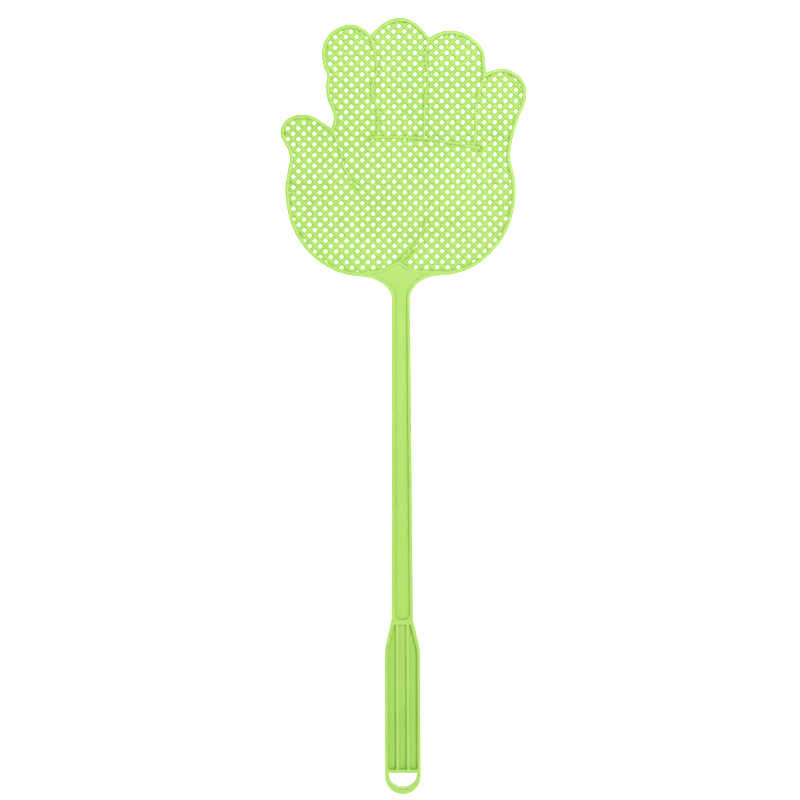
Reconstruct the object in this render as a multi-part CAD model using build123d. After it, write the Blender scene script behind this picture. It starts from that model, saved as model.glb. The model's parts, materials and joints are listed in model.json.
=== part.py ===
"""Hand-shaped fly swatter: one flexible plastic moulding, modelled member by member.

Frame: the origin is at the bottom of the hang loop, on the handle's centre line and in the
middle plane of the moulding. +Z runs up the handle and shaft to the fingertips, +X points to
the little finger, and the palm faces -Y. Both faces of the moulding are alike.

The shaft and the head bend. They are cut across into short stations, each a body of its own,
that turn on hinge lines along X. The cut is a rounded end in a hollow end, so the running
gap stays the same at every angle.
"""

from build123d import *

import os
from math import ceil, floor, sqrt

# Overall sizes, mm
handle_length = 100.7  # bottom of the hang loop to the top of the shoulders
shaft_length = 185.3  # top of the shoulders to the root of the neck
head_height = 164.0  # root of the neck to the tip of the middle finger
head_width = 143.0  # thumb to little finger

# Thicknesses from face to face
handle_thickness = 8.0
shaft_thickness = 5.5
rim_thickness = 3.6
mesh_thickness = 2.4
web_thickness = 2.0
gusset_thickness = 3.0  # where the web meets the rim of the head

# Handle
handle_width = 20.8
handle_wall = 2.1
handle_rib = 1.8
handle_rib_spacing = 6.1
crossbar_width = 2.2
shoulder_height = 17.5
shoulder_radius = 30.0
hang_hole_width = 16.4
hang_hole_height = 9.3
hang_loop_wall = 3.0  # below the hole

# Shaft: two rails joined by a thin web
shaft_width_bottom = 12.7
shaft_width_top = 10.8
rail_width = 2.1
recess_corner = 3.5  # where the recess ends above the handle
shoulder_rib_width = 2.8

# Head
rim_width = 2.4
rib_width = 1.7
mesh_pitch = 4.38  # from bar to bar; the bars run at 45 degrees
mesh_bar = 1.9
mesh_edge = 0.35  # least plastic left between a mesh hole and a rim or rib

# Flexing stations
shaft_joint_count = 8
root_stub = 11.3  # shoulders to the first hinge line
neck_stub = 20.0  # last shaft hinge line to the root of the neck
joint_gap = 0.3

# The hand, as it is drawn 143 mm wide and 164 mm high above the root of the neck. Each list
# follows the middle of one bead, x from the centre line and z from the root of the neck.
DRAWN_WIDTH = 143.0
DRAWN_HEIGHT = 164.0

CROTCH_THUMB = (-39.2, 98.4)
CROTCH_INDEX = (-16.8, 152.3)
CROTCH_MIDDLE = (16.8, 150.8)
CROTCH_RING = (49.0, 130.2)
NECK_LEFT = (-23.3, 15.1)
NECK_RIGHT = (28.1, 15.8)
APEX = (-1.6, 21.9)

THUMB_AND_HEEL = [
    CROTCH_THUMB, (-44.5, 101.7), (-50.2, 105.6), (-55.9, 106.9), (-61.6, 106.1), (-66.3, 103.1),
    (-68.4, 97.3), (-67.1, 93.2), (-64.5, 88.5), (-63.1, 83.0), (-64.1, 76.3), (-65.7, 66.3),
    (-65.2, 57.1), (-62.4, 44.6), (-56.5, 33.4), (-46.1, 23.1), (-33.0, 16.6), NECK_LEFT,
]
INDEX_FINGER = [
    CROTCH_THUMB, (-37.5, 106.4), (-38.7, 111.2), (-41.3, 117.7), (-41.9, 124.2), (-41.4, 130.8),
    (-43.4, 137.0), (-44.1, 144.6), (-41.0, 152.7), (-35.0, 157.4), (-27.8, 158.9), (-21.8, 156.8),
    CROTCH_INDEX,
]
MIDDLE_FINGER = [
    CROTCH_INDEX, (-12.7, 156.9), (-6.3, 161.3), (0.2, 162.8), (6.6, 161.1), (11.9, 156.7),
    CROTCH_MIDDLE,
]
RING_FINGER = [
    CROTCH_MIDDLE, (23.3, 154.3), (29.7, 155.2), (37.0, 153.7), (42.9, 149.8), (47.3, 144.2),
    (48.4, 138.0), CROTCH_RING,
]
LITTLE_FINGER_AND_EDGE = [
    CROTCH_RING, (54.3, 132.2), (60.0, 133.0), (66.6, 130.5), (71.0, 125.7), (72.2, 119.8),
    (71.4, 114.0), (68.7, 108.2), (66.6, 101.9), (64.6, 95.4), (63.2, 88.8), (62.7, 82.4),
    (65.0, 71.9), (65.7, 62.7), (64.5, 52.1), (59.4, 38.2), (53.7, 30.3), (46.8, 23.7),
    (37.8, 18.5), NECK_RIGHT,
]
HEEL_LEFT = [NECK_LEFT, (-17.7, 15.8), (-13.9, 16.5), (-10.3, 17.6), (-5.9, 19.8), APEX]
HEEL_RIGHT = [
    NECK_RIGHT, (20.7, 16.0), (14.8, 16.2), (11.2, 16.5), (7.4, 17.2), (4.7, 18.2), (1.2, 20.1),
    APEX,
]
HEEL_LINE = [APEX, (0.9, 23.7), (4.4, 26.8), (8.9, 33.0), (12.6, 40.0), (15.0, 46.5)]
INDEX_MIDDLE_LINE = [
    CROTCH_INDEX, (-14.1, 141.2), (-13.4, 133.8), (-15.8, 126.3), (-15.8, 117.7), (-13.4, 112.4),
    (-13.2, 94.6),
]
MIDDLE_RING_LINE = [CROTCH_MIDDLE, (14.8, 141.2), (16.3, 130.5), (14.7, 117.7), (13.8, 93.5)]
RING_LITTLE_LINE = [CROTCH_RING, (45.7, 119.8), (43.6, 107.0), (44.0, 99.5), (42.4, 88.6)]
PALM_LINE = [(-18.0, 94.4), (-4.0, 94.7), (13.0, 93.6), (31.2, 91.0), (46.1, 87.5)]
THUMB_LINE = [CROTCH_THUMB, (-35.2, 87.7), (-32.5, 77.1), (-25.6, 65.3)]
NECK_FLARE_LEFT = [
    (-4.7, 3.2), (-6.0, 6.1), (-8.5, 9.3), (-11.2, 11.3), (-14.3, 12.9), (-17.8, 14.1), NECK_LEFT,
]
NECK_FLARE_RIGHT = [
    (4.5, 2.9), (5.6, 5.9), (7.3, 8.5), (9.6, 10.9), (12.7, 12.9), (15.8, 14.2), (19.0, 15.0),
    NECK_RIGHT,
]
HEAD_JOINT_HEIGHTS = (49.0, 83.0, 117.0)
TOP_MESH_HOLE = (-0.5, 159.4)  # centre of one hole, which the others are counted from

# Heights and other sizes worked out from the sizes above
neck_z = handle_length + shaft_length
top_z = neck_z + head_height
shoulder_z = handle_length - shoulder_height
crossbar_bottom = hang_loop_wall + hang_hole_height
crossbar_top = crossbar_bottom + crossbar_width
shoulder_rib_z = handle_length - shoulder_rib_width
first_joint_z = handle_length + root_stub
joint_pitch = (shaft_length - root_stub - neck_stub) / (shaft_joint_count - 1)
shaft_joints = [first_joint_z + joint_pitch * i for i in range(shaft_joint_count)]
head_joints = [neck_z + z * head_height / DRAWN_HEIGHT for z in HEAD_JOINT_HEIGHTS]
taper_bottom = neck_z - 8.0  # from here up to the next height the moulding thins to the rim
taper_top = neck_z + 14.0
reach = 2.0 * max(head_width, handle_width)
spare = 6.0  # how far a shape is drawn past the hinge lines that it is cut at
margin = 1.0  # how far a cutting shape runs past the ends of the moulding


def hand(points):
    """Points of the drawn hand, at the size and place of this one."""
    wide = head_width / DRAWN_WIDTH
    tall = head_height / DRAWN_HEIGHT
    return [(x * wide, neck_z + z * tall) for x, z in points]


def shaft_half_width(z):
    """Half the shaft's width at a height: it narrows evenly from the handle to the neck."""
    share = (z - handle_length) / shaft_length
    return (shaft_width_bottom + (shaft_width_top - shaft_width_bottom) * share) / 2


def polygon(*points):
    return make_face(Polyline(*points, close=True))


def bead(points, width):
    """A flat strip of even width along a smooth line through the points."""
    return make_face(trace(Spline(*points), width).face().outer_wire())


def area(*lines):
    """The flat area inside a ring of smooth lines that meet end to end."""
    return make_face(Curve() + [Spline(*hand(line)) for line in lines])


def across(bottom, top):
    """A rectangle right across the part between two heights."""
    return Pos(0, (bottom + top) / 2) * Rectangle(reach, top - bottom)


def slab(sketch, back, front):
    """A flat shape, drawn as x and z, made solid from y = back to y = -front."""
    return extrude(Plane.XZ.offset(-back) * sketch, back + front, clean=False)


def side_view(steps):
    """A solid right across the part, as thick at each height as the steps say."""
    side = [(thickness / 2, z) for thickness, z in steps]
    mirrored = [(-y, z) for y, z in reversed(side)]
    return extrude(Plane.YZ * polygon(*side, *mirrored), reach, both=True)


def thickness_envelope():
    """Side view of the moulding: thick at the handle, thinner up the shaft, thinnest at the rim."""
    return side_view([
        (handle_thickness, -margin),
        (handle_thickness, shoulder_z),
        (shaft_thickness, handle_length),
        (shaft_thickness, taper_bottom),
        (rim_thickness, taper_top),
        (rim_thickness, top_z + margin),
    ])


def gusset_envelope():
    """Side view of the gusset, which thickens from the web of the shaft towards the rim."""
    return side_view([
        (web_thickness, shaft_joints[-1] - spare),
        (web_thickness, taper_bottom),
        (gusset_thickness, taper_top),
        (gusset_thickness, top_z),
    ])


def half_thickness(z):
    """Half the moulding's thickness at a hinge line."""
    return (shaft_thickness if z < neck_z else rim_thickness) / 2


def station(low, high):
    """The space of one body: hollow at its lower hinge line and rounded at its upper one."""
    bottom = -margin if low is None else low
    top = top_z + margin if high is None else high
    side = Pos(0, (bottom + top) / 2) * Rectangle(2 * handle_thickness, top - bottom)
    if high is not None:
        side += Pos(0, high) * Circle(half_thickness(high))
    if low is not None:
        side -= Pos(0, low) * Circle(half_thickness(low) + joint_gap)
    return extrude(Plane.YZ * side, reach, both=True)


def handle_outline(inset):
    """The handle above the hang loop, or the same outline drawn in by a wall."""
    half = handle_width / 2 - inset
    neck = shaft_width_bottom / 2 - inset
    outline = polygon(
        (-half, crossbar_bottom),
        (-half, shoulder_z),
        (-neck, handle_length),
        (neck, handle_length),
        (half, shoulder_z),
        (half, crossbar_bottom),
    )
    bends = [v for v in outline.vertices() if abs(v.Y - shoulder_z) < joint_gap]
    return fillet(bends, shoulder_radius)


def hang_loop():
    """The round end of the handle, with its D-shaped hole."""
    radius = handle_width / 2
    outline = Pos(0, radius) * Circle(radius)
    outline += Pos(0, radius + radius / 2) * Rectangle(handle_width, radius)
    hole_radius = hang_hole_width / 2
    hole_centre = hang_loop_wall + hole_radius
    hole = Pos(0, hole_centre) * Circle(hole_radius)
    hole += Pos(0, hole_centre + hole_radius / 2) * Rectangle(hang_hole_width, hole_radius)
    return (outline - hole) & across(-margin, crossbar_bottom)


def shaft_outline(inset):
    """The shaft from the shoulders to the last shaft hinge line, drawn in by an inset."""
    low = handle_length
    top = shaft_joints[-1] + spare
    half_low = shaft_half_width(low) - inset
    half_top = shaft_half_width(top) - inset
    return polygon((-half_low, low), (-half_top, top), (half_top, top), (half_low, low))


def shaft_recess():
    """The sunk strip between the rails, with its round lower end."""
    strip = shaft_outline(rail_width)
    lower = [v for v in strip.vertices() if v.Y < handle_length + joint_gap]
    return fillet(lower, recess_corner)


def handle_nodes():
    interior = handle_outline(handle_wall)
    walls = handle_outline(0) - interior
    floor_area = interior & across(crossbar_top, shoulder_rib_z)
    rib_height = shoulder_rib_z - crossbar_top
    web = web_thickness / 2
    whole = handle_thickness / 2
    nodes = {
        "hang_loop": slab(hang_loop(), whole, whole),
        "crossbar": slab(interior & across(crossbar_bottom, crossbar_top), whole, whole),
        "shoulder_rib": slab(interior & across(shoulder_rib_z, handle_length), whole, whole),
        "handle_floor": slab(floor_area, web, web),
    }
    for name, side in (("left", -1), ("right", 1)):
        half = Pos(side * handle_width / 2, handle_length / 2)
        half *= Rectangle(handle_width, handle_length + 2 * margin)
        nodes["handle_wall_" + name] = slab(walls & half, whole, whole)
        rib = Pos(side * handle_rib_spacing / 2, crossbar_top + rib_height / 2)
        rib *= Rectangle(handle_rib, rib_height)
        nodes["handle_rib_" + name + "_front"] = slab(rib, -web, whole)
        nodes["handle_rib_" + name + "_back"] = slab(rib, whole, -web)
    return nodes


def shaft_solid():
    """Two rails and the thin web between them, from the shoulders to the last shaft hinge line."""
    recess = shaft_recess()
    rails = slab(shaft_outline(0) - recess, handle_thickness, handle_thickness)
    rails &= thickness_envelope()
    return rails + slab(recess, web_thickness / 2, web_thickness / 2)


def neck_rail_line(side, flare):
    """The middle of a shaft rail through the neck, where it curves out to the rim."""
    heights = (shaft_joints[-1] - spare, shaft_joints[-1] + spare, neck_z)
    straight = [(side * (shaft_half_width(z) - rail_width / 2), z) for z in heights]
    return straight + hand(flare)


def less(shape, *others):
    """A flat shape without what lies under the others, and without crumbs."""
    for other in others:
        shape = shape - other
    return max(shape.faces(), key=lambda face: face.area)


def head_beads():
    """Every rim and rib of the head as a flat strip, each one stopping at those before it."""
    drawn = {
        "thumb": (THUMB_AND_HEEL, rim_width),
        "index": (INDEX_FINGER, rim_width),
        "middle": (MIDDLE_FINGER, rim_width),
        "ring": (RING_FINGER, rim_width),
        "little": (LITTLE_FINGER_AND_EDGE, rim_width),
        "heel_left": (HEEL_LEFT, rim_width),
        "heel_right": (HEEL_RIGHT, rim_width),
        "heel_line": (HEEL_LINE, rib_width),
        "palm_line": (PALM_LINE, rib_width),
        "thumb_line": (THUMB_LINE, rib_width),
        "index_middle_line": (INDEX_MIDDLE_LINE, rib_width),
        "middle_ring_line": (MIDDLE_RING_LINE, rib_width),
        "ring_little_line": (RING_LITTLE_LINE, rib_width),
    }
    beads = {}
    for name, (points, width) in drawn.items():
        beads[name] = less(bead(hand(points), width), *beads.values())
    return beads


def mesh_holes(panel):
    """The diamond holes that fit inside one panel, clear of its edges."""
    side = mesh_pitch - mesh_bar
    step = mesh_pitch / sqrt(2)
    corner = side / sqrt(2)
    start_x, start_z = hand([TOP_MESH_HOLE])[0]
    box = panel.bounding_box()
    edge = panel.outer_wire()
    rows = range(floor((box.min.Y - start_z) / step), ceil((box.max.Y - start_z) / step))
    columns = range(floor((box.min.X - start_x) / step), ceil((box.max.X - start_x) / step))
    holes = []
    for row in rows:
        for column in columns:
            centre = Vector(start_x + column * step, start_z + row * step)
            if (row + column) % 2 == 0 and panel.is_inside(centre):
                if edge.distance_to(centre) > corner + mesh_edge:
                    diamond = Polyline(
                        (centre.X - corner, centre.Y), (centre.X, centre.Y - corner),
                        (centre.X + corner, centre.Y), (centre.X, centre.Y + corner), close=True,
                    )
                    holes.append(Wire(diamond.edges()))
    return holes


def mesh_panel(open_area, low, high, point):
    """The mesh of one body around a point, as a pierced sheet that runs past the hinge lines."""
    part_area = open_area & across(low - spare, high + spare)
    spot = Vector(*hand([point])[0])
    panel = next(face for face in part_area.faces() if face.is_inside(spot))
    pierced = Face(panel.outer_wire(), mesh_holes(panel))
    return slab(pierced, mesh_thickness / 2, mesh_thickness / 2)


def head_nodes():
    beads = head_beads()
    last_shaft_joint = shaft_joints[-1]
    lower, middle, upper = head_joints
    spaces = {
        "neck": station(last_shaft_joint, lower),
        "palm": station(lower, middle),
        "knuckles": station(middle, upper),
        "fingers": station(upper, None),
    }
    envelope = thickness_envelope()
    line_left = neck_rail_line(-1, NECK_FLARE_LEFT)
    line_right = neck_rail_line(1, NECK_FLARE_RIGHT)
    rail_left = less(bead(line_left, rail_width), *beads.values())
    rail_right = less(bead(line_right, rail_width), *beads.values())

    strips = {
        "neck_rail_left": ("neck", rail_left),
        "neck_rail_right": ("neck", rail_right),
        "heel_rim_left_inner": ("neck", beads["heel_left"]),
        "heel_rim_right_inner": ("neck", beads["heel_right"]),
        "heel_rim_left": ("neck", beads["thumb"]),
        "heel_rim_right": ("neck", beads["little"]),
        "heel_line_rib": ("neck", beads["heel_line"]),
        "palm_rim_left": ("palm", beads["thumb"]),
        "palm_rim_right": ("palm", beads["little"]),
        "thumb_line_lower": ("palm", beads["thumb_line"]),
        "thumb_rim": ("knuckles", beads["thumb"]),
        "thumb_line_upper": ("knuckles", beads["thumb_line"]),
        "index_root_rim": ("knuckles", beads["index"]),
        "little_root_rim": ("knuckles", beads["little"]),
        "palm_line_rib": ("knuckles", beads["palm_line"]),
        "index_middle_line_lower": ("knuckles", beads["index_middle_line"]),
        "middle_ring_line_lower": ("knuckles", beads["middle_ring_line"]),
        "ring_little_line_lower": ("knuckles", beads["ring_little_line"]),
        "index_rim": ("fingers", beads["index"]),
        "middle_rim": ("fingers", beads["middle"]),
        "ring_rim": ("fingers", beads["ring"]),
        "little_rim": ("fingers", beads["little"]),
        "index_middle_line_upper": ("fingers", beads["index_middle_line"]),
        "middle_ring_line_upper": ("fingers", beads["middle_ring_line"]),
        "ring_little_line_upper": ("fingers", beads["ring_little_line"]),
    }
    nodes = {}
    for name, (space, strip) in strips.items():
        nodes[name] = slab(strip, shaft_thickness, shaft_thickness) & envelope & spaces[space]

    ring = [Spline(*points) for points in (line_left, hand(HEEL_LEFT), hand(HEEL_RIGHT), line_right)]
    ring.append(Line(line_left[0], line_right[0]))
    gusset = less(make_face(Curve() + ring), rail_left, rail_right, *beads.values())
    gusset_solid = slab(gusset, gusset_thickness / 2, gusset_thickness / 2)
    nodes["neck_gusset"] = gusset_solid & gusset_envelope() & spaces["neck"]

    open_area = area(
        THUMB_AND_HEEL, INDEX_FINGER, MIDDLE_FINGER, RING_FINGER, LITTLE_FINGER_AND_EDGE,
        HEEL_RIGHT, HEEL_LEFT,
    )
    for strip in beads.values():
        open_area = open_area - strip
    panels = {
        "heel_mesh": ("neck", neck_z, lower, (-30.0, 35.0)),
        "palm_mesh": ("palm", lower, middle, (0.0, 60.0)),
        "palm_top_mesh": ("knuckles", middle, upper, (0.0, 88.0)),
        "thumb_mesh": ("knuckles", middle, upper, (-55.0, 95.0)),
        "middle_root_mesh": ("knuckles", middle, upper, (0.0, 105.0)),
        "ring_root_mesh": ("knuckles", middle, upper, (29.0, 105.0)),
        "index_mesh": ("fingers", upper, top_z, (-29.0, 140.0)),
        "middle_mesh": ("fingers", upper, top_z, (0.0, 140.0)),
        "ring_mesh": ("fingers", upper, top_z, (31.0, 135.0)),
        "little_mesh": ("fingers", upper, top_z, (59.0, 120.0)),
    }
    for name, (space, low, high, point) in panels.items():
        nodes[name] = mesh_panel(open_area, low, high, point) & spaces[space]
    return nodes


def all_nodes():
    envelope = thickness_envelope()
    nodes = {name: shape & envelope for name, shape in handle_nodes().items()}
    shaft = shaft_solid()
    lines = [None] + shaft_joints
    for number in range(shaft_joint_count):
        name = "shaft_root" if number == 0 else "shaft_" + str(number)
        nodes[name] = shaft & station(lines[number], lines[number + 1])
    nodes.update(head_nodes())
    return nodes


os.makedirs("parts", exist_ok=True)
for name, shape in all_nodes().items():
    export_step(shape, "parts/" + name + ".step")
    print(name, len(shape.solids()), round(shape.volume, 1))
print("shaft hinge heights", [round(z, 3) for z in shaft_joints])
print("head hinge heights", [round(z, 3) for z in head_joints])
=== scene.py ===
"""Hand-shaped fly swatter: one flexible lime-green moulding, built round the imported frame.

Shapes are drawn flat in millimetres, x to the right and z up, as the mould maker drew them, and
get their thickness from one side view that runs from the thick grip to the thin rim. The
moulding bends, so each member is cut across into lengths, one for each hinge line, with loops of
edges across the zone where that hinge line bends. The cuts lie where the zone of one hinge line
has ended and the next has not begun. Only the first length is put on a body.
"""

import json
import math

import bmesh
import bpy
from mathutils import Matrix, Vector

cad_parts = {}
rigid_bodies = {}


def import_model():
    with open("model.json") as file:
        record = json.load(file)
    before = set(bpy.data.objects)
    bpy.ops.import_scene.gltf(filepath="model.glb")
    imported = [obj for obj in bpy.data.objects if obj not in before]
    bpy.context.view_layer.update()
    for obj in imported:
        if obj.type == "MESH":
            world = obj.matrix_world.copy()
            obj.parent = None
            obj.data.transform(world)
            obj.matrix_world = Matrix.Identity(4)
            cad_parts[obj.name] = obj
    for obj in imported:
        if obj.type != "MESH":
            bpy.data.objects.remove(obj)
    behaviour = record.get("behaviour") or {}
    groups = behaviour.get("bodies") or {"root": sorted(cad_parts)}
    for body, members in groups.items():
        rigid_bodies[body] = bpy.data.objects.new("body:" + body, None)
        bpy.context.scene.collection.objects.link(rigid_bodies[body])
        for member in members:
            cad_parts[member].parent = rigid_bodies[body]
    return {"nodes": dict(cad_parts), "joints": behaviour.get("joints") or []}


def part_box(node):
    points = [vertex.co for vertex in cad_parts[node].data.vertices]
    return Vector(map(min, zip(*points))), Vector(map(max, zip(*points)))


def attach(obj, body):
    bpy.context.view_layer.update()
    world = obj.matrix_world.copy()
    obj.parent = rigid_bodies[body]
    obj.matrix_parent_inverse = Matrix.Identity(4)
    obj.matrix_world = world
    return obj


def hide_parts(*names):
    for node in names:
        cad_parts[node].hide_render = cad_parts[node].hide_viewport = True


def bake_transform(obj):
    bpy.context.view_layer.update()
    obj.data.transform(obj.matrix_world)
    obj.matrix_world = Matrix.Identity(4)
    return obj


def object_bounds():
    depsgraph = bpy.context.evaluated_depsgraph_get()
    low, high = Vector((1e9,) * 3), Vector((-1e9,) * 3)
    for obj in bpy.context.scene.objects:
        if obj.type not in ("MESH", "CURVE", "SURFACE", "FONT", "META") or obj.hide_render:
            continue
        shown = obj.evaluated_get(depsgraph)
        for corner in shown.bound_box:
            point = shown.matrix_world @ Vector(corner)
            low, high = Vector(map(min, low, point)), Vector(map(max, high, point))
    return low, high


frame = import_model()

cad_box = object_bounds()

MM = 0.001


def node_box(name):
    """Lowest and highest corner of a CAD node, in millimetres."""
    low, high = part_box(name)
    return low / MM, high / MM


def node_size(name, axis):
    low, high = node_box(name)
    return high[axis] - low[axis]


# ---------------------------------------------------------------- sizes taken from the frame
LOW, HIGH = cad_box[0] / MM, cad_box[1] / MM
HINGES = [joint["pos_m"][2] / MM for joint in frame["joints"]]
BODIES = [frame["joints"][0]["parent"]] + [joint["child"] for joint in frame["joints"]]

SHAFT_HINGES = 8  # the hinge lines after these are the head's
HAND_WIDTH = 143.0  # the hand as it is drawn below
HAND_HEIGHT = 164.0
FIRST_HEAD_HINGE = 49.0  # above the root of the neck, on the drawn hand
wide = (HIGH.x - LOW.x) / HAND_WIDTH
tall = (HIGH.z - HINGES[SHAFT_HINGES]) / (HAND_HEIGHT - FIRST_HEAD_HINGE)
NECK_Z = HIGH.z - HAND_HEIGHT * tall

GRIP_THICK = node_size("crossbar", 1)
SHAFT_THICK = node_size("shaft_3", 1)
RIM_THICK = node_size("middle_rim", 1)
MESH_THICK = node_size("palm_mesh", 1)
WEB_THICK = node_size("handle_floor", 1)
GUSSET_THICK = node_size("neck_gusset", 1)
GRIP_HALF = node_size("hang_loop", 0) / 2
SHOULDER_TOP = node_box("shoulder_rib")[1].z
U_RIB = node_size("shoulder_rib", 2)
CROSSBAR_LOW = node_box("crossbar")[0].z
CROSSBAR_TOP = node_box("crossbar")[1].z
RIB_WIDTH = node_size("handle_rib_left_front", 0)
RIB_X = node_box("handle_rib_right_front")[0].x + RIB_WIDTH / 2
SHAFT_HALF_LOW = node_size("shaft_root", 0) / 2
SHAFT_HALF_TOP = 5.4

# ---------------------------------------------------------------- sizes of the moulding
WALL = 2.1
SHOULDER_LENGTH = 17.5
SHOULDER_RADIUS = 30.0
LOOP_WALL = 3.0
LOOP_HOLE_HALF = 8.2
HOLE_CORNER = 0.8
RECESS_CORNER = 3.9
POCKET_CORNER = 1.1
BITE = 0.8  # how far one member runs into the next
RAILS_END = NECK_Z - 3.0  # the straight rails end here
FLARES_START = NECK_Z - 7.0  # and the beads that carry them on start here
WEB_END = NECK_Z - 2.0
GUSSET_START = NECK_Z - 5.0
RIM_WIDTH = 2.4
LINE_WIDTH = 1.7
RAIL_EDGE = 0.55
RIM_EDGE = 0.95
LINE_EDGE = 0.7
RIB_EDGE = 0.35
MESH_ACROSS = 6.17  # from hole to hole along a row
MESH_UP = 6.23  # and up a column
CELLS = 40  # of the mesh, each way, before it is cut to the hand
ROWS_TO_MIDDLE = 12  # rows of holes from the top hole to the middle of the mesh
RIDGE = [(0.2, 0.0), (0.15, 0.07), (0.52, 0.5), (0.38, 0.63)]  # widths and depths, crest to hole
SHARP = 38.0  # degrees from which an edge shows as a line

# ---------------------------------------------------------------- studio
FLOOR_Z = -0.35
FLOOR_REACH = 12.0
FLOOR_STRIPS = 120
LENS = 60.3
CAMERA_AT = (-0.0008, -0.7784, 0.22815)
CAMERA_ROLL = 0.24
SWEEP_FROM = 2.0
SWEEP_RADIUS = 1.5
AIR = 0.3
KEY = {"place": (0.49, -1.82, 0.95), "size": 1.0, "power": 27.5}
FILL = {"place": (-1.5, -1.3, 0.5), "size": 1.4, "power": 5.0}
BACKDROP = (0.3, 1.1)  # the floor glows white from the first distance behind to the second

# ---------------------------------------------------------------- the hand, middle of each bead
CROTCH_THUMB = (-39.2, 98.4)
CROTCH_INDEX = (-16.8, 152.3)
CROTCH_MIDDLE = (16.8, 150.8)
CROTCH_RING = (49.0, 130.2)
NECK_LEFT = (-23.3, 15.1)
NECK_RIGHT = (28.1, 15.8)
APEX = (-1.6, 21.9)

THUMB_AND_HEEL = [
    CROTCH_THUMB, (-44.5, 101.7), (-50.2, 105.6), (-55.9, 106.9), (-61.6, 106.1), (-66.3, 103.1),
    (-68.4, 97.3), (-67.1, 93.2), (-64.5, 88.5), (-63.1, 83.0), (-64.1, 76.3), (-65.7, 66.3),
    (-65.2, 57.1), (-62.4, 44.6), (-56.5, 33.4), (-46.1, 23.1), (-33.0, 16.6), NECK_LEFT,
]
INDEX_FINGER = [
    CROTCH_THUMB, (-37.5, 106.4), (-38.7, 111.2), (-41.3, 117.7), (-41.9, 124.2), (-41.4, 130.8),
    (-43.4, 137.0), (-44.1, 144.6), (-41.0, 152.7), (-35.0, 157.4), (-27.8, 158.9), (-21.8, 156.8),
    CROTCH_INDEX,
]
MIDDLE_FINGER = [
    CROTCH_INDEX, (-12.7, 156.9), (-6.3, 161.3), (0.2, 162.8), (6.6, 161.1), (11.9, 156.7),
    CROTCH_MIDDLE,
]
RING_FINGER = [
    CROTCH_MIDDLE, (23.3, 154.3), (29.7, 155.2), (37.0, 153.7), (42.9, 149.8), (47.3, 144.2),
    (48.4, 138.0), CROTCH_RING,
]
LITTLE_FINGER_AND_EDGE = [
    CROTCH_RING, (54.3, 132.2), (60.0, 133.0), (66.6, 130.5), (71.0, 125.7), (72.2, 119.8),
    (71.4, 114.0), (68.7, 108.2), (66.6, 101.9), (64.6, 95.4), (63.2, 88.8), (62.7, 82.4),
    (65.0, 71.9), (65.7, 62.7), (64.5, 52.1), (59.4, 38.2), (53.7, 30.3), (46.8, 23.7),
    (37.8, 18.5), NECK_RIGHT,
]
HEEL_LEFT = [NECK_LEFT, (-17.7, 15.8), (-13.9, 16.5), (-10.3, 17.6), (-5.9, 19.8), APEX]
HEEL_RIGHT = [
    NECK_RIGHT, (20.7, 16.0), (14.8, 16.2), (11.2, 16.5), (7.4, 17.2), (4.7, 18.2), (1.2, 20.1),
    APEX,
]
HEEL_LINE = [APEX, (0.9, 23.7), (4.4, 26.8), (8.9, 33.0), (12.6, 40.0), (15.0, 46.5)]
INDEX_MIDDLE_LINE = [
    CROTCH_INDEX, (-14.1, 141.2), (-13.4, 133.8), (-15.8, 126.3), (-15.8, 117.7), (-13.4, 112.4),
    (-13.2, 94.6),
]
MIDDLE_RING_LINE = [CROTCH_MIDDLE, (14.8, 141.2), (16.3, 130.5), (14.7, 117.7), (13.8, 93.5)]
RING_LITTLE_LINE = [CROTCH_RING, (45.7, 119.8), (43.6, 107.0), (44.0, 99.5), (42.4, 88.6)]
PALM_LINE = [(-18.0, 94.4), (-4.0, 94.7), (13.0, 93.6), (31.2, 91.0), (46.1, 87.5)]
THUMB_LINE = [CROTCH_THUMB, (-35.2, 87.7), (-32.5, 77.1), (-25.6, 65.3)]
NECK_FLARE_LEFT = [
    (-4.7, 3.2), (-6.0, 6.1), (-8.5, 9.3), (-11.2, 11.3), (-14.3, 12.9), (-17.8, 14.1), NECK_LEFT,
]
NECK_FLARE_RIGHT = [
    (4.5, 2.9), (5.6, 5.9), (7.3, 8.5), (9.6, 10.9), (12.7, 12.9), (15.8, 14.2), (19.0, 15.0),
    NECK_RIGHT,
]
TOP_MESH_HOLE = (-0.5, 159.4)
RIMS = [
    THUMB_AND_HEEL, INDEX_FINGER, MIDDLE_FINGER, RING_FINGER, LITTLE_FINGER_AND_EDGE, HEEL_LEFT,
    HEEL_RIGHT,
]
LINES = [
    HEEL_LINE, INDEX_MIDDLE_LINE, MIDDLE_RING_LINE, RING_LITTLE_LINE, PALM_LINE, THUMB_LINE,
]


def hand(points):
    """Points of the drawn hand at this one's size and place, in millimetres."""
    return [(x * wide, NECK_Z + z * tall) for x, z in points]


# ---------------------------------------------------------------- thickness and bending
TAPER_LOW = NECK_Z - 8.0
TAPER_TOP = NECK_Z + 14.0
THICKNESS = [
    (LOW.z, GRIP_THICK),
    (SHOULDER_TOP - SHOULDER_LENGTH, GRIP_THICK),
    (SHOULDER_TOP, SHAFT_THICK),
    (TAPER_LOW, SHAFT_THICK),
    (TAPER_TOP, RIM_THICK),
    (HIGH.z, RIM_THICK),
]
WEB_THICKNESS = [(LOW.z, WEB_THICK), (TAPER_LOW, WEB_THICK), (TAPER_TOP, GUSSET_THICK)]


def thickness_at(z, side_view):
    """The thickness at a height, from a side view given as heights and thicknesses."""
    for (z0, t0), (z1, t1) in zip(side_view, side_view[1:]):
        if z <= z1:
            return t0 + (t1 - t0) * max(0.0, z - z0) / (z1 - z0)
    return side_view[-1][1]


HEAD_REACH = [17.0, 13.0, 20.0]  # how far the bend of each hinge line of the head runs


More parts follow.
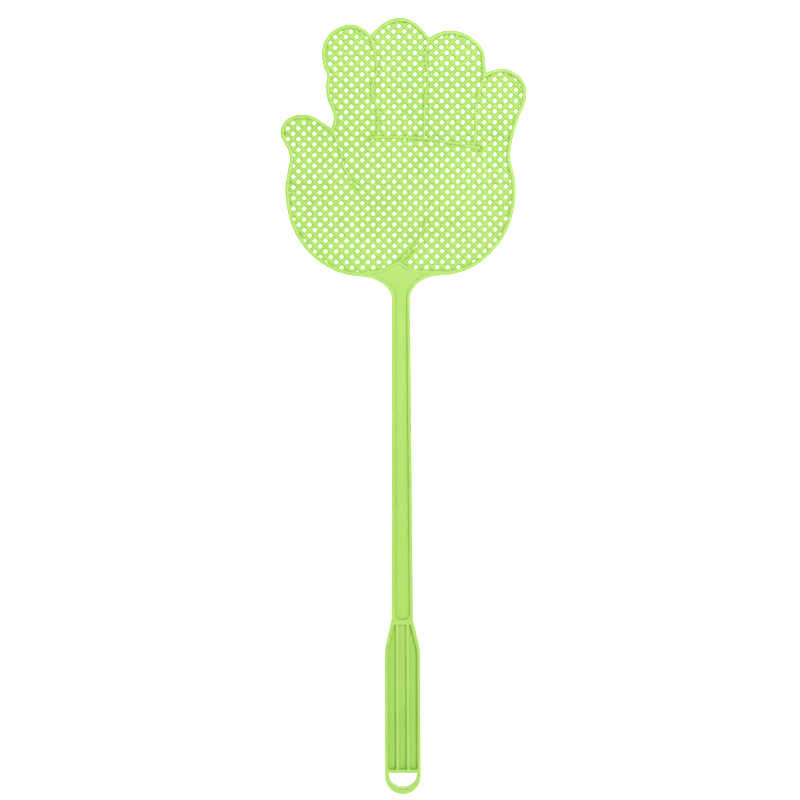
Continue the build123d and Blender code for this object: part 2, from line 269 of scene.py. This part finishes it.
def bend_zones():
    """Where the bend of each hinge line starts and ends, so that no two overlap."""
    half = (HINGES[1] - HINGES[0]) / 2
    reach = [half] * SHAFT_HINGES + HEAD_REACH
    return [(z - r, z + r) for z, r in zip(HINGES, reach)]


ZONES = bend_zones()
CUTS = [ZONES[0][0]] + [(a[1] + b[0]) / 2 for a, b in zip(ZONES, ZONES[1:])]
SHAFT_LENGTHS = ["shaft_%d" % n for n in range(1, SHAFT_HINGES)]
LENGTHS = ["grip"] + SHAFT_LENGTHS + ["neck", "heel", "palm", "fingers"]
HEEL = LENGTHS.index("heel")
LOOP_STEP = 2.75  # between the loops of edges that let a length bend smoothly


# ---------------------------------------------------------------- flat drawing
def arc(cx, cz, radius, start, end, steps=10):
    """Points round part of a circle, angles in degrees."""
    angles = [math.radians(start + (end - start) * i / steps) for i in range(steps + 1)]
    return [(cx + radius * math.cos(a), cz + radius * math.sin(a)) for a in angles]


def mirrored(points):
    return [(-x, z) for x, z in reversed(points)]


def add_line(curve, points, closed):
    """Straight runs through the points."""
    spline = curve.splines.new("POLY")
    spline.points.add(len(points) - 1)
    for knot, (x, z) in zip(spline.points, points):
        knot.co = (x, z, 0.0, 1.0)
    spline.use_cyclic_u = closed


def add_smooth_line(curve, points, closed, corners=()):
    """A smooth curve through the points, with a corner at some of them."""
    spline = curve.splines.new("BEZIER")
    spline.bezier_points.add(len(points) - 1)
    for knot, (x, z) in zip(spline.bezier_points, points):
        knot.co = (x, z, 0.0)
        knot.handle_left_type = knot.handle_right_type = "VECTOR" if (x, z) in corners else "AUTO"
    spline.use_cyclic_u = closed


def solid_of(curve):
    """The closed solid that a flat curve makes, stood upright so that its thickness is along y."""
    thing = bpy.data.objects.new("drawing", curve)
    bpy.context.scene.collection.objects.link(thing)
    depsgraph = bpy.context.evaluated_depsgraph_get()
    mesh = bpy.data.meshes.new_from_object(thing.evaluated_get(depsgraph))
    bm = bmesh.new()
    bm.from_mesh(mesh)
    bpy.data.objects.remove(thing)
    bpy.data.curves.remove(curve)
    bpy.data.meshes.remove(mesh)
    bmesh.ops.remove_doubles(bm, verts=bm.verts, dist=0.001)
    bmesh.ops.rotate(bm, verts=bm.verts, matrix=Matrix.Rotation(math.pi / 2, 3, "X"))
    bmesh.ops.recalc_face_normals(bm, faces=bm.faces)
    return bm


def flat_curve(name, fill_mode):
    curve = bpy.data.curves.new(name, "CURVE")
    curve.dimensions = "2D"
    curve.fill_mode = fill_mode
    return curve


def plate(loops, thickness, edge=0.0):
    """A flat plate with the outline loops[0] and holes loops[1:], its edges rounded."""
    curve = flat_curve("plate", "BOTH")
    curve.extrude = thickness / 2 - edge
    curve.bevel_depth = edge
    curve.bevel_resolution = 3
    curve.offset = -edge
    for loop in loops:
        add_line(curve, loop, closed=True)
    return solid_of(curve)


def smooth_plate(points, corners, thickness):
    """A flat plate whose outline is a smooth line with a few corners."""
    curve = flat_curve("smooth_plate", "BOTH")
    curve.resolution_u = 6
    curve.extrude = thickness / 2
    add_smooth_line(curve, points, True, corners)
    return solid_of(curve)


def bead(points, width, thickness, edge):
    """A bead along a smooth line, closed by a round end at each end: three solids that overlap."""
    section = flat_curve("section", "NONE")
    x, y = width / 2 - edge, thickness / 2 - edge
    corners = [(x, y, 0), (-x, y, 90), (-x, -y, 180), (x, -y, 270)]
    add_line(section, [p for cx, cy, a in corners for p in arc(cx, cy, edge, a, a + 90, 4)], True)
    section_object = bpy.data.objects.new("section", section)
    curve = flat_curve("bead", "NONE")
    curve.resolution_u = 6
    curve.bevel_mode = "OBJECT"
    curve.bevel_object = section_object
    curve.use_fill_caps = True
    add_smooth_line(curve, points, closed=False)
    bm = solid_of(curve)
    bpy.data.objects.remove(section_object)
    bpy.data.curves.remove(section)
    return [bm] + [round_end(end, width, thickness, edge) for end in (points[0], points[-1])]


def round_end(centre, width, thickness, edge):
    """A small disc with the bead's own rounding, which closes the end of a bead."""
    bm = bmesh.new()
    bmesh.ops.create_cone(
        bm, cap_ends=True, segments=24, radius1=width / 2, radius2=width / 2, depth=thickness
    )
    rims = [e for e in bm.edges if abs(e.verts[0].co.z - e.verts[1].co.z) < 0.001]
    bmesh.ops.bevel(
        bm, geom=rims, offset=edge, offset_type="OFFSET", segments=4, profile=0.5,
        affect="EDGES", material=-1,
    )
    bmesh.ops.rotate(bm, verts=bm.verts, matrix=Matrix.Rotation(math.pi / 2, 3, "X"))
    bmesh.ops.translate(bm, verts=bm.verts, vec=(centre[0], 0.0, centre[1]))
    bmesh.ops.recalc_face_normals(bm, faces=bm.faces)
    return bm


# ---------------------------------------------------------------- solids put together and cut
def as_object(bm, name):
    mesh = bpy.data.meshes.new(name)
    bm.to_mesh(mesh)
    bm.free()
    thing = bpy.data.objects.new(name, mesh)
    bpy.context.scene.collection.objects.link(thing)
    return thing


def boolean(first, second, operation):
    """Joins two solids, or keeps what they share; both are used up."""
    a, b = as_object(first, "first"), as_object(second, "second")
    modifier = a.modifiers.new("boolean", "BOOLEAN")
    modifier.operation = operation
    modifier.solver = "MANIFOLD"
    modifier.object = b
    depsgraph = bpy.context.evaluated_depsgraph_get()
    mesh = bpy.data.meshes.new_from_object(a.evaluated_get(depsgraph))
    bm = bmesh.new()
    bm.from_mesh(mesh)
    used = [mesh, a.data, b.data]
    for thing in (a, b):
        bpy.data.objects.remove(thing)
    for mesh in used:
        bpy.data.meshes.remove(mesh)
    return bm


def joined(solids):
    """One closed solid out of many that overlap."""
    whole = solids[0]
    for solid in solids[1:]:
        whole = boolean(whole, solid, "UNION")
    return whole


def give_thickness(bm, side_view, drawn):
    """Scales a member drawn at an even thickness to its side view, height by height."""
    for vertex in bm.verts:
        vertex.co.y *= thickness_at(vertex.co.z, side_view) / drawn
    return bm


def cut_across(bm, height, keep=None):
    """Cuts a solid at a height: adds a loop of edges, or keeps one side of it and closes it."""
    bmesh.ops.bisect_plane(
        bm, geom=bm.verts[:] + bm.edges[:] + bm.faces[:], dist=0.0001,
        plane_co=(0.0, 0.0, height), plane_no=(0.0, 0.0, 1.0),
        clear_inner=keep == "above", clear_outer=keep == "below",
    )
    if keep:
        rims = [e for e in bm.edges if e.is_boundary]
        bmesh.ops.holes_fill(bm, edges=rims, sides=0)


def length_of(bm, index):
    """A copy of the stretch of a solid between two cuts."""
    part = bm.copy()
    if index > 0:
        cut_across(part, CUTS[index - 1], keep="above")
    if index < len(CUTS):
        cut_across(part, CUTS[index], keep="below")
    return part


# ---------------------------------------------------------------- materials
def linear(hex_colour):
    """An sRGB hex colour as linear red, green, blue and alpha."""
    channels = [int(hex_colour[i:i + 2], 16) / 255 for i in (1, 3, 5)]
    return [c / 12.92 if c <= 0.04045 else ((c + 0.055) / 1.055) ** 2.4 for c in channels] + [1.0]


def node(tree, kind, **inputs):
    """Adds a node and sets or links its inputs by name, with _ for a space."""
    new = tree.nodes.new(kind)
    for key, value in inputs.items():
        socket = new.inputs[key.replace("_", " ")]
        if isinstance(value, bpy.types.NodeSocket):
            tree.links.new(value, socket)
        else:
            socket.default_value = value
    return new


def blank_material(name):
    material = bpy.data.materials.new(name)
    material.use_nodes = True
    material.node_tree.nodes.clear()
    return material, material.node_tree


def moulded_polypropylene():
    """Injection-moulded polypropylene: a satin sheen, a colour that clouds slightly where the
    melt flowed, and light that spreads a little way under the surface of thin walls."""
    material, tree = blank_material("moulded_lime_polypropylene")
    place = node(tree, "ShaderNodeTexCoord").outputs["Object"]
    flow = node(tree, "ShaderNodeTexNoise", Vector=place, Scale=1 / (28 * MM), Detail=3.0)
    colour = node(tree, "ShaderNodeValToRGB", Fac=flow.outputs["Fac"])
    stops = colour.color_ramp.elements
    stops[0].position, stops[0].color = 0.3, linear("#A2CF59")
    stops[1].position, stops[1].color = 0.7, linear("#AAD462")
    # the mould's own texture is about 0.1 mm, too fine to show, so it is drawn at 1.1 mm
    grain = node(tree, "ShaderNodeTexNoise", Vector=place, Scale=1 / (1.1 * MM), Detail=2.0)
    bump = node(
        tree, "ShaderNodeBump", Height=grain.outputs["Fac"], Strength=0.12, Distance=0.05 * MM
    )
    gloss = node(tree, "ShaderNodeMapRange", Value=flow.outputs["Fac"], To_Min=0.34, To_Max=0.44)
    shader = node(
        tree, "ShaderNodeBsdfPrincipled", Base_Color=colour.outputs["Color"],
        Roughness=gloss.outputs["Result"], IOR=1.49, Normal=bump.outputs["Normal"],
        Subsurface_Weight=0.3, Subsurface_Radius=(1.0, 1.2, 0.5), Subsurface_Scale=1.5 * MM,
    )
    node(tree, "ShaderNodeOutputMaterial", Surface=shader.outputs["BSDF"])
    return material


def studio_paper():
    """Matt white paper with a painted glow: from a little way behind the swatter on it gives out
    white light of its own, though it is no lamp, so that it shows plain white.
    """
    material, tree = blank_material("studio_paper")
    place = node(tree, "ShaderNodeTexCoord").outputs["Object"]
    behind = node(tree, "ShaderNodeSeparateXYZ", Vector=place).outputs["Y"]
    # painted glow: the paper's own emission, rising with the distance behind the swatter
    glow = node(
        tree, "ShaderNodeMapRange", Value=behind, From_Min=BACKDROP[0], From_Max=BACKDROP[1]
    )
    shader = node(
        tree, "ShaderNodeBsdfPrincipled", Base_Color=linear("#FAFAFA"), Roughness=0.95,
        Emission_Color=linear("#FFFFFF"), Emission_Strength=glow.outputs["Result"],
    )
    node(tree, "ShaderNodeOutputMaterial", Surface=shader.outputs["BSDF"])
    return material


# ---------------------------------------------------------------- members of the moulding
def shaft_half(z):
    share = (z - SHOULDER_TOP) / (NECK_Z - SHOULDER_TOP)
    return SHAFT_HALF_LOW + (SHAFT_HALF_TOP - SHAFT_HALF_LOW) * share


def shoulder_bend(inset):
    """The round bend at the foot of the right shoulder, drawn in by an inset."""
    slope = math.atan2(GRIP_HALF - SHAFT_HALF_LOW, SHOULDER_LENGTH)
    low = SHOULDER_TOP - SHOULDER_LENGTH - SHOULDER_RADIUS * math.tan(slope / 2)
    centre_x = GRIP_HALF - SHOULDER_RADIUS
    return arc(centre_x, low, SHOULDER_RADIUS - inset, 0, math.degrees(slope), 6)


def grip_and_rails():
    """The frame of the grip, with its loop and hole, and the two rails of the shaft."""
    recess_z = SHOULDER_TOP + RECESS_CORNER
    recess_x = shaft_half(recess_z) - WALL - RECESS_CORNER
    outline = arc(0, GRIP_HALF, GRIP_HALF, -90, 0, 16) + shoulder_bend(0.0)
    outline += [(SHAFT_HALF_LOW, SHOULDER_TOP), (shaft_half(RAILS_END), RAILS_END)]
    outline += [(shaft_half(RAILS_END) - WALL, RAILS_END)]
    outline += arc(recess_x, recess_z, RECESS_CORNER, 0, -90, 8)

    hole = arc(0, LOOP_WALL + LOOP_HOLE_HALF, LOOP_HOLE_HALF, -90, 0, 14)
    hole += arc(LOOP_HOLE_HALF - HOLE_CORNER, CROSSBAR_LOW - HOLE_CORNER, HOLE_CORNER, 0, 90, 4)

    corner = POCKET_CORNER
    pocket_top = SHOULDER_TOP - U_RIB
    top_x = SHAFT_HALF_LOW + (GRIP_HALF - SHAFT_HALF_LOW) * U_RIB / SHOULDER_LENGTH - WALL
    pocket = arc(GRIP_HALF - WALL - corner, CROSSBAR_TOP + corner, corner, -90, 0, 5)
    pocket += shoulder_bend(WALL)
    pocket += arc(top_x - corner, pocket_top - corner, corner, 15, 90, 5)
    loops = [outline + mirrored(outline[1:]), hole + mirrored(hole[1:]), pocket + mirrored(pocket)]
    return plate(loops, SHAFT_THICK, RAIL_EDGE)


def box_plate(x_low, x_high, z_low, z_high, thickness, edge=0.0):
    loop = [(x_low, z_low), (x_high, z_low), (x_high, z_high), (x_low, z_high)]
    return plate([loop], thickness, edge)


def grip_ribs():
    """The two long ribs down the grip, which run into the crossbar and the shoulder rib."""
    low, high = CROSSBAR_TOP - BITE, SHOULDER_TOP - U_RIB + BITE
    half = RIB_WIDTH / 2
    middles = (-RIB_X, RIB_X)
    return [box_plate(x - half, x + half, low, high, SHAFT_THICK, RIB_EDGE) for x in middles]


def neck_rail(side, flare):
    """A rail from the top of the shaft to where it meets the rim."""
    heights = (FLARES_START, (FLARES_START + NECK_Z) / 2, NECK_Z)
    straight = [(side * (shaft_half(z) - WALL / 2), z) for z in heights]
    return bead(straight + hand(flare), WALL, SHAFT_THICK, RAIL_EDGE)


def outline_member():
    """Everything that stands to the moulding's full thickness, joined into one solid."""
    solids = [grip_and_rails()] + grip_ribs()
    solids += neck_rail(-1, NECK_FLARE_LEFT) + neck_rail(1, NECK_FLARE_RIGHT)
    for points in RIMS:
        solids += bead(hand(points), RIM_WIDTH, SHAFT_THICK, RIM_EDGE)
    for points in LINES:
        solids += bead(hand(points), LINE_WIDTH, SHAFT_THICK, LINE_EDGE)
    return give_thickness(joined(solids), THICKNESS, SHAFT_THICK)


def web_member():
    """The thin web: the floor of the grip, the web of the shaft and the gusset of the neck."""
    low = CROSSBAR_TOP - BITE
    half = GRIP_HALF - WALL / 2
    shoulder = (half, SHOULDER_TOP - SHOULDER_LENGTH - 2.0)
    waist = (shaft_half(SHOULDER_TOP) - WALL / 2, SHOULDER_TOP)
    right = [(half, low), shoulder, waist, (shaft_half(WEB_END) - WALL / 2, WEB_END)]
    strip = plate([right + mirrored(right)], WEB_THICK)
    foot = [(shaft_half(z) - WALL / 2, z) for z in (GUSSET_START, NECK_Z)]
    round_neck = NECK_FLARE_RIGHT + HEEL_RIGHT[1:] + HEEL_LEFT[-2::-1] + NECK_FLARE_LEFT[-2::-1]
    corners = hand([NECK_LEFT, NECK_RIGHT, APEX]) + [foot[0], (-foot[0][0], foot[0][1])]
    gusset = smooth_plate(foot + hand(round_neck) + mirrored(foot), corners, WEB_THICK)
    web = boolean(strip, gusset, "UNION")
    cut_across(web, TAPER_LOW)
    cut_across(web, TAPER_TOP)
    return give_thickness(web, WEB_THICKNESS, WEB_THICK)


def palm_prism():
    """The whole area of the hand, out to the middle of its rim, thicker than the mesh."""
    ring = THUMB_AND_HEEL + HEEL_LEFT[1:] + HEEL_RIGHT[-2::-1]
    for finger in (LITTLE_FINGER_AND_EDGE, RING_FINGER, MIDDLE_FINGER, INDEX_FINGER):
        ring += finger[-2::-1]
    corners = [CROTCH_THUMB, CROTCH_INDEX, CROTCH_MIDDLE, CROTCH_RING, NECK_LEFT, NECK_RIGHT, APEX]
    return smooth_plate(hand(ring[:-1]), hand(corners), 2 * MESH_THICK)


def mesh_member():
    """The diamond mesh: ridges with a narrow crest and sloping sides round diamond holes."""
    bm = bmesh.new()
    # square cells of side 1 / sqrt(2), so that turned by 45 degrees they repeat every 1
    bmesh.ops.create_grid(bm, x_segments=CELLS, y_segments=CELLS, size=CELLS / math.sqrt(8))
    turn = Matrix.Rotation(math.pi / 2, 3, "X") @ Matrix.Rotation(math.pi / 4, 3, "Z")
    bmesh.ops.rotate(bm, verts=bm.verts, matrix=turn)
    bmesh.ops.scale(bm, verts=bm.verts, vec=(MESH_ACROSS, 1.0, MESH_UP))
    hole_x, hole_z = hand([TOP_MESH_HOLE])[0]
    to_palm = (hole_x, -MESH_THICK / 2, hole_z - (ROWS_TO_MIDDLE + 0.5) * MESH_UP)
    bmesh.ops.translate(bm, verts=bm.verts, vec=to_palm)
    cells = bm.faces[:]
    for width, depth in RIDGE:
        bmesh.ops.inset_individual(
            bm, faces=cells, thickness=width, depth=-depth, use_even_offset=True
        )
    bmesh.ops.delete(bm, geom=cells, context="FACES")
    bmesh.ops.mirror(
        bm, geom=bm.verts[:] + bm.edges[:] + bm.faces[:], matrix=Matrix.Identity(4),
        merge_dist=0.001, axis="Y",
    )
    bmesh.ops.bridge_loops(bm, edges=[e for e in bm.edges if e.is_boundary])
    bmesh.ops.recalc_face_normals(bm, faces=bm.faces)
    return boolean(bm, palm_prism(), "INTERSECT")


# ---------------------------------------------------------------- pieces
def in_length(node_name, index):
    """Whether a CAD node has a good part of itself between two cuts."""
    low, high = node_box(node_name)
    bottom = CUTS[index - 1] if index > 0 else LOW.z
    top = CUTS[index] if index < len(CUTS) else HIGH.z
    return min(high.z, top) - max(low.z, bottom) > 1.0


def lay(member, bm, indices, nodes):
    """Cuts a member into its lengths, adds loops of edges across each length's bend zone, gives
    each its material, puts the first length on the first body, and hides the CAD nodes inside each
    length."""
    for index in indices:
        part = length_of(bm, index)
        if index > 0:
            low, high = ZONES[index - 1]
            steps = round((high - low) / LOOP_STEP)
            for i in range(1, steps):
                cut_across(part, low + (high - low) * i / steps)
        bmesh.ops.scale(part, verts=part.verts, vec=(MM, MM, MM))
        piece = as_object(part, member + "_" + LENGTHS[index])
        piece.data.polygons.foreach_set("use_smooth", [True] * len(piece.data.polygons))
        piece.data.set_sharp_from_angle(angle=math.radians(SHARP))
        piece.data.materials.append(PLASTIC)
        if index == 0:
            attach(piece, BODIES[0])
        else:
            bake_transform(piece)
        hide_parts(*[name for name in nodes if in_length(name, index)])
    bm.free()


PLASTIC = moulded_polypropylene()
ALL_NODES = sorted(frame["nodes"])
MESH_NODES = [name for name in ALL_NODES if name.endswith("_mesh")]
SHAFT_NODES = [name for name in ALL_NODES if name.startswith("shaft_")]
WEB_NODES = SHAFT_NODES + ["handle_floor", "neck_gusset"]
OUTLINE_NODES = [
    name for name in ALL_NODES if name not in MESH_NODES + ["handle_floor", "neck_gusset"]
]
lay("outline", outline_member(), range(len(LENGTHS)), OUTLINE_NODES)
lay("web", web_member(), range(HEEL + 1), WEB_NODES)
lay("mesh", mesh_member(), range(HEEL, len(LENGTHS)), MESH_NODES)


# ---------------------------------------------------------------- studio
def studio_floor():
    """A pale floor that sweeps up into a far backdrop."""
    bm = bmesh.new()
    bmesh.ops.create_grid(bm, x_segments=1, y_segments=FLOOR_STRIPS, size=FLOOR_REACH)
    for vertex in bm.verts:
        run = max(0.0, vertex.co.y - SWEEP_FROM)
        angle = min(run / SWEEP_RADIUS, math.pi / 2)
        rise = run - SWEEP_RADIUS * angle
        vertex.co.y -= run - SWEEP_RADIUS * math.sin(angle)
        vertex.co.z = FLOOR_Z + SWEEP_RADIUS * (1 - math.cos(angle)) + rise
    floor = as_object(bm, "studio_floor")
    floor.data.polygons.foreach_set("use_smooth", [True] * len(floor.data.polygons))
    floor.data.materials.append(studio_paper())


def softbox(name, place, size, power):
    """A large soft light aimed at the middle of the swatter."""
    light = bpy.data.lights.new(name, "AREA")
    light.shape = "DISK"
    light.size = size
    light.energy = power
    lamp = bpy.data.objects.new(name, light)
    lamp.location = place
    aim = Vector((0.0, 0.0, HIGH.z * MM / 2)) - lamp.location
    lamp.rotation_euler = aim.to_track_quat("-Z", "Y").to_euler()
    bpy.context.scene.collection.objects.link(lamp)


def studio_camera():
    data = bpy.data.cameras.new("camera")
    data.lens = LENS
    camera = bpy.data.objects.new("camera", data)
    camera.location = CAMERA_AT
    camera.rotation_euler = (math.pi / 2, math.radians(CAMERA_ROLL), 0.0)
    bpy.context.scene.collection.objects.link(camera)
    bpy.context.scene.camera = camera


def studio_air():
    world = bpy.data.worlds.new("white_studio")
    world.use_nodes = True
    air = world.node_tree.nodes["Background"]
    air.inputs["Color"].default_value = (1.0, 1.0, 1.0, 1.0)
    air.inputs["Strength"].default_value = AIR
    bpy.context.scene.world = world
    bpy.context.scene.view_settings.view_transform = "Standard"


studio_floor()
studio_air()
studio_camera()
softbox("key", **KEY)
softbox("fill", **FILL)
